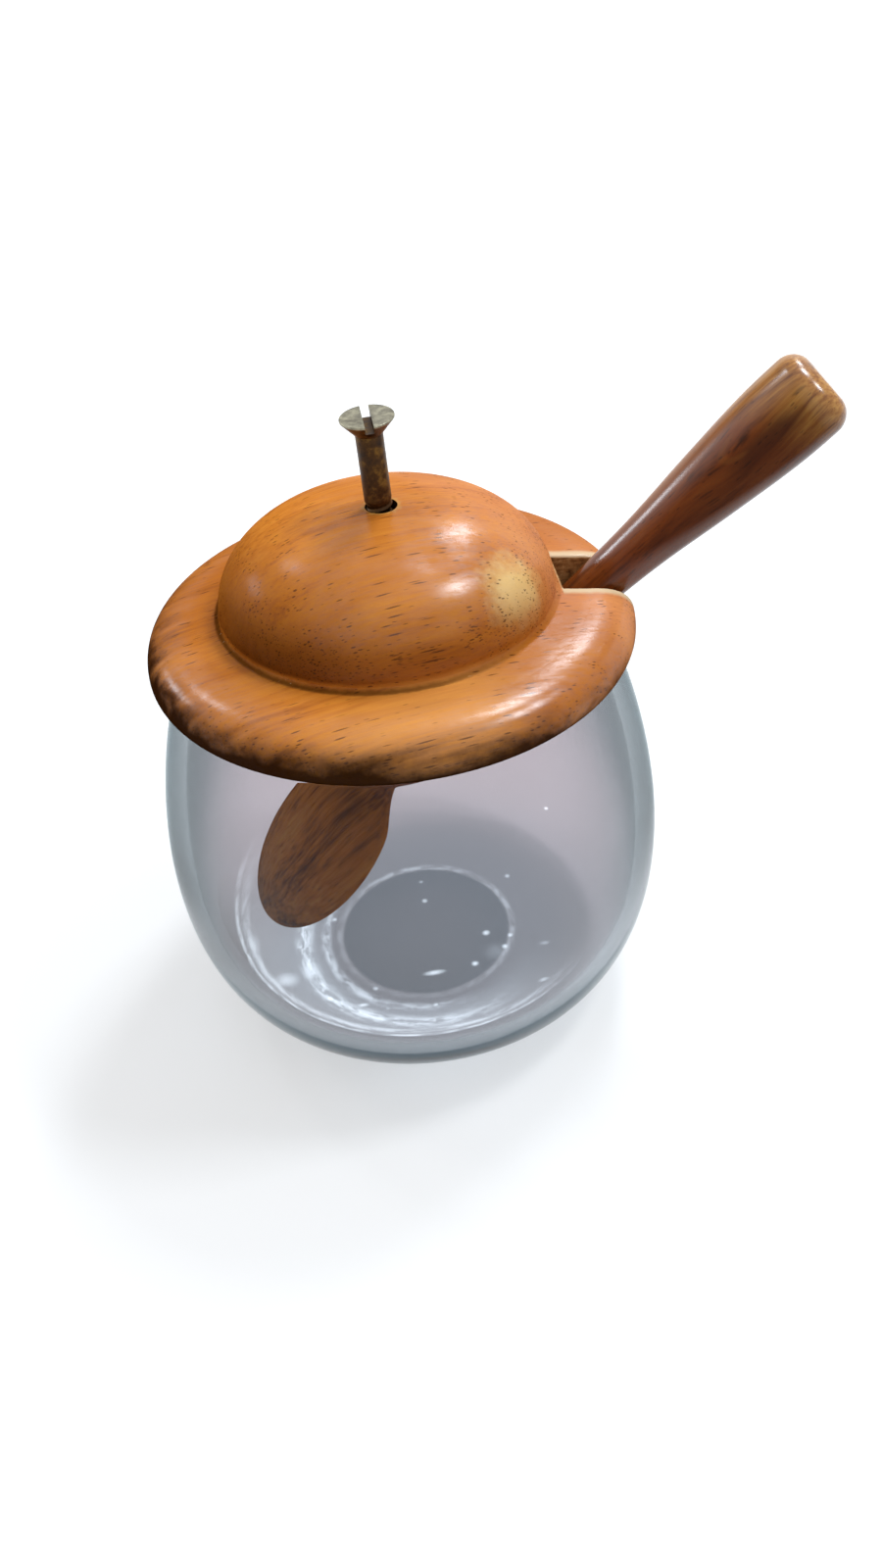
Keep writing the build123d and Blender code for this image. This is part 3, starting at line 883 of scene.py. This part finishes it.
def spoonWood():
    # place is metres up the handle, across it and out of its back
    s = spoon
    r = Recipe("spoonWood")
    turn = Matrix(spoonWays()).transposed().to_euler()
    place = r.objectPlace(turn=tuple(turn), shift=tuple(v * mm for v in s["atNotch"]))
    up, across, out = r.axes(place)
    # the grain swings round a knot near the club end
    knotUp, knotAcross = s["knot"]
    fromKnot = r.distance((up * s["knotLength"], across), (knotUp * s["knotLength"], knotAcross))
    swing = (1 - r.past(inMetres(s["swing"]), fromKnot)) * s["swingMost"]
    waver = (r.noise(place, *s["waver"]) - 0.5) * (s["waverWidth"] * mm)
    bent = r.node("ShaderNodeCombineXYZ", None, {
        0: up, 1: across - swing * (across - knotAcross * mm) + waver, 2: out,
    }).outputs[0]
    fibre, streak, (dash, dashPick), (speck, speckPick) = grain(r, bent, s)

    def side(name, *noises):
        return r.side(place, s["sides"][name], *noises)

    club = side("club", streak)
    bowl = side("bowl")
    # a dark wedge runs up into the tan between the front and the side
    wedge = 1 - r.past(inMetres(s["wedgeWidth"]), abs(across - s["wedgeMiddle"] * mm))
    ringAt = fromKnot - s["knotRadius"] * mm + (streak - 0.5) * (s["knotWobble"] * mm)
    knotRing = 1 - r.past(inMetres(s["knotLine"]), abs(ringAt))
    masks = {
        # the handle is golden along its upper side and darker along its lower side: partly the wood's tone
        # and partly painted light and shade from above
        "upper": side("upper", streak) * side("handle"),
        "club": club,
        "wedge": wedge * side("wedgeBegins") * side("wedgeEnds", streak),
        "lower": side("lower", streak) * side("handle") * (1 - club),
        "knotRing": knotRing * (1 - r.past(inMetres(s["knotRingEnds"], knotUp), up)),
        "knotEye": 1 - r.past(inMetres(s["knotEye"]), fromKnot, fibre),
        # the bowl is drier and more olive than the handle
        "bowl": bowl,
        "dashes": dash * r.past(s["dashPick"], dashPick, streak),
        "specks": speck * r.past(s["speckPick"], speckPick),
    }
    paints = {name: linear(hexColour) for name, hexColour in s["paints"].items()}
    paints["tan"] = r.ramp(blend(fibre, streak, s["tanFibreShare"]), s["tanStops"])
    paints["dry"] = r.ramp(blend(fibre, streak, s["dryFibreShare"]), s["dryStops"])
    colour = r.ramp(blend(fibre, streak, s["fibreShare"]), s["grainStops"])
    colour = r.layered(colour, s["layers"], masks, paints)
    relief = s["relief"]
    height = (fibre - 0.5) * relief["fibre"] - masks["dashes"] * relief["dashes"]
    height = height - masks["specks"] * relief["specks"]
    # polished on its crest, along its lower edge and at the club end, duller between
    low, high = s["crestGloss"]
    crest = 1 - r.past(inMetres(s["crestWidth"]), abs(across - s["crest"] * mm))
    polished = r.largest(
        crest * (high - low) + low, side("lowEdge"), side("clubEnd") * s["endGloss"]
    )
    shader = r.principled(
        Base_Color=colour, Roughness=r.smooth(fibre, *s["roughSpan"]) + bowl * s["bowlRoughness"],
        Coat_Weight=(1 - bowl) * polished, Normal=r.bump(height, *s["bump"]), **s["finish"],
    )
    return r.finish(shader)


rings, clubEnd, bowlTip = spoonRings()
spoonMesh = meshOfRings("carvedSpoon", rings, clubEnd, bowlTip)
objectFrom("carvedSpoon", spoonMesh, spoonWood(), "spoon", "spoon_wood", "spoon")
print("spoon:", len(spoonMesh.polygons), "faces")


studio = {  # metres and degrees, but floorDrop is in millimetres
    "floorHalf": 6.0, "floorDrop": 0.08, "floorColour": 0.55,
    "floorGlow": (0.10, 0.70, 0.50, 0.76),  # metres from the middle, then the strength at each
    "fill": (-0.1, 1.0, 0.20, 0.70), "fillColour": (0.97, 0.98, 1.0), "fillLean": (0.30, 0.20),
    "lampColour": (0.86, 0.93, 1.0), "aim": (0.0, 0.0, 0.085),
    "lamps": [  # name, azimuth and elevation of its direction, distance, width, height, watts
        ("backRight", 59, 41, 0.95, 0.13, 0.13, 1.6),
        ("skylight", 46, 60, 0.95, 0.17, 0.19, 3.4),
        ("right", 0, 59, 0.95, 0.17, 0.15, 3.4),
        ("backLeft", 128, 43, 0.95, 0.09, 0.09, 0.7),
        ("left", 143, 25, 0.95, 0.16, 0.12, 1.1),
    ],
}

caughtLight = {  # light that the pot gathers on the floor under it; lengths in millimetres
    "colour": (0.78, 0.96, 1.0), "footRadius": 19.0, "footShade": 0.50, "footBlur": 1.0,
    "ripple": (3.0, 3.0, 0.6), "rippleRound": 1.9, "rippleOut": 200.0,
    "rings": [  # radius, half width, strength, azimuth where it is strongest, how far round it dies
        (19.3, 1.1, 0.75, 60, -2.0), (22.4, 1.6, 1.5, 212, 0.0), (27.5, 3.0, 2.2, 216, -0.2),
    ],
    "ringRipple": (0.36, 0.62, 0.10, 1.1),
    # the outermost bands follow the edge of the pot's own shade: distance, half width, strength
    "shore": [(30.8, 1.5, 1.8), (33.0, 1.0, 2.8)], "shoreLean": 0.25, "shoreEnd": 34.2,
    "shoreRipple": (0.34, 0.60, 0.15, 1.0), "shoreWay": 235, "shoreSpan": (-0.3, 0.9),
    "haze": 0.62, "hazeBegins": (20, 26), "hazeEnds": (-3, 0),  # the last counts from shoreEnd
    "spots": [  # place, half sizes, strength
        (37, 35, 0.9, 0.9, 2.4), (-23, -16, 1.0, 1.0, 1.5), (-21, -20, 0.8, 0.8, 1.0),
        (-16, -19, 1.7, 0.8, 2.0), (-13, -15, 0.8, 0.8, 1.6), (-11, -21, 0.6, 0.6, 0.9),
        (-6, -22, 0.6, 0.6, 0.8), (-1, -22, 0.7, 0.7, 1.6), (-2, -27, 0.7, 0.7, 1.2),
        (-33, -9, 4.5, 3.0, 1.6), (-41, 3, 2.5, 5.0, 0.8), (9, -12.4, 1.1, 1.0, 2.6),
        (13, -4, 1.2, 1.1, 2.4), (16.2, -9, 0.9, 1.0, 2.2), (18, -6, 0.9, 0.8, 1.8),
        (23, -21, 1.8, 1.0, 1.4), (25, -10, 1.8, 0.8, 0.9), (21, 12, 0.9, 0.9, 1.4),
        (1, 15, 0.9, 0.7, 0.8), (1, 9, 1.0, 1.0, 1.5), (-20, 7, 0.8, 0.8, 1.6),
        (0, -13, 3.2, 1.0, 2.4), (14, -10, 3.5, 3.5, 0.35),
    ],
}

view = {  # millimetres and directions in the frame, and the lens for a sensor 36 mm wide
    "place": (-12.451, -215.774, 217.012), "forward": (0.06789, 0.77600, -0.62707),
    "up": (0.15119, 0.61326, 0.77528), "lens": 31.55, "sensor": 36.0, "nearClip": 0.01,
}


def seenRays(r):
    # 1 for rays from the camera, off a gloss or through glass
    path = r.node("ShaderNodeLightPath")
    camera, glossy, through = [
        Wire(r, path.outputs[name]) for name in ("Is Camera Ray", "Is Glossy Ray", "Is Transmission Ray")
    ]
    return r.maths("MINIMUM", camera + glossy + through, 1.0)


def lightCaught(r, x, y, away):
    # the rings, bands and small stars of light under the pot
    c = caughtLight
    turn = r.maths("ARCTAN2", y, x)
    unrolled = r.node("ShaderNodeCombineXYZ", None, {0: turn * c["rippleRound"], 1: away * c["rippleOut"]})
    ripple = r.noise(unrolled.outputs[0], *c["ripple"])

    def band(reach, radius, half, amount):
        return r.smooth(abs(reach - radius * mm), 0.0, half * mm, amount, 0.0)

    def facing(way, low, high):
        return r.smooth(r.maths("COSINE", turn - math.radians(way)), low, high)

    caught = 0.0
    ringRipple = r.smooth(ripple, *c["ringRipple"])
    for radius, half, amount, way, dies in c["rings"]:
        caught = caught + band(away, radius, half, amount) * facing(way, dies, 1.0) * ringRipple
    lean = c["shoreLean"]
    shore = away * (1 - lean) - y * lean
    front = facing(c["shoreWay"], *c["shoreSpan"])
    shoreRipple = r.smooth(ripple, *c["shoreRipple"])
    for radius, half, amount in c["shore"]:
        caught = caught + band(shore, radius, half, amount) * front * shoreRipple
    haze = r.past(inMetres(c["hazeBegins"]), away)
    haze = haze * (1 - r.past(inMetres(c["hazeEnds"], c["shoreEnd"]), shore))
    caught = caught + haze * front * c["haze"]
    for spotX, spotY, halfX, halfY, amount in c["spots"]:
        aside = (x - spotX * mm) / (halfX * mm)
        ahead = (y - spotY * mm) / (halfY * mm)
        outward = r.maths("SQRT", aside * aside + ahead * ahead)
        caught = caught + r.smooth(outward, 0.0, 1.0, amount, 0.0)
    return caught


def whiteFloor():
    r = Recipe("whiteFloor")
    x, y = r.axes(r.objectPlace())[:2]
    away = r.distance((x, y), (0, 0))
    foot = r.past(inMetres((-caughtLight["footBlur"], 0), caughtLight["footRadius"]), away)
    shade = caughtLight["footShade"]
    strength = r.smooth(away, *studio["floorGlow"]) * (foot * (1 - shade) + shade)
    seen = seenRays(r)
    diffuse = r.node("ShaderNodeBsdfDiffuse", None, {"Color": (studio["floorColour"],) * 3})
    glow = r.node("ShaderNodeEmission", None, {"Color": (1, 1, 1), "Strength": seen * strength})
    gathered = r.node("ShaderNodeEmission", None, {
        "Color": caughtLight["colour"], "Strength": seen * lightCaught(r, x, y, away),
    })
    lit = r.node("ShaderNodeAddShader", None, {0: diffuse.outputs[0], 1: glow.outputs[0]})
    return r.finish(r.node("ShaderNodeAddShader", None, {0: lit.outputs[0], 1: gathered.outputs[0]}))


def whiteWorld():
    scene.world = bpy.data.worlds.new("studio")
    r = Recipe("studio", scene.world)
    x, y, z = r.axes(r.node("ShaderNodeTexCoord").outputs["Generated"])
    leanX, leanY = studio["fillLean"]
    sky = z + x * leanX + y * leanY  # more from the right and the back
    white = r.node("ShaderNodeBackground", None, {"Color": (1, 1, 1)})
    fill = r.node("ShaderNodeBackground", None, {
        "Color": studio["fillColour"], "Strength": r.smooth(sky, *studio["fill"]),
    })
    mixed = r.node("ShaderNodeMixShader", None, {0: seenRays(r), 1: fill.outputs[0], 2: white.outputs[0]})
    r.node("ShaderNodeOutputWorld", None, {0: mixed.outputs[0]})


def layFloor():
    half = studio["floorHalf"]
    mesh = bpy.data.meshes.new("floor")
    low = -studio["floorDrop"] * mm
    corners = [(-half, -half, low), (half, -half, low), (half, half, low), (-half, half, low)]
    mesh.from_pydata(corners, [], [(0, 1, 2, 3)])
    floor = bpy.data.objects.new("floor", mesh)
    scene.collection.objects.link(floor)
    mesh.materials.append(whiteFloor())


def hangLamps():
    aim = Vector(studio["aim"])
    for name, azimuth, elevation, distance, width, height, watts in studio["lamps"]:
        a, e = math.radians(azimuth), math.radians(elevation)
        way = Vector((math.cos(e) * math.cos(a), math.cos(e) * math.sin(a), math.sin(e)))
        data = bpy.data.lights.new(name, "AREA")
        data.shape = "RECTANGLE"
        data.size = width
        data.size_y = height
        data.energy = watts
        data.color = studio["lampColour"]
        lamp = bpy.data.objects.new(name, data)
        scene.collection.objects.link(lamp)
        lamp.location = aim + way * distance
        lamp.rotation_euler = way.to_track_quat("Z", "Y").to_euler()
        lamp.visible_transmission = False


def placeCamera():
    forward = Vector(view["forward"]).normalized()
    right = forward.cross(Vector(view["up"])).normalized()
    up = right.cross(forward)
    data = bpy.data.cameras.new("camera")
    data.sensor_fit = "AUTO"
    data.sensor_width = view["sensor"]
    data.lens = view["lens"]
    data.clip_start = view["nearClip"]
    camera = bpy.data.objects.new("camera", data)
    scene.collection.objects.link(camera)
    turn = Matrix((right, up, -forward)).transposed()
    camera.matrix_world = Matrix.Translation(Vector(view["place"]) * mm) @ turn.to_4x4()
    scene.camera = camera


layFloor()
whiteWorld()
hangLamps()
placeCamera()
scene.view_settings.view_transform = "Standard"
print("floor, lamps and camera placed")
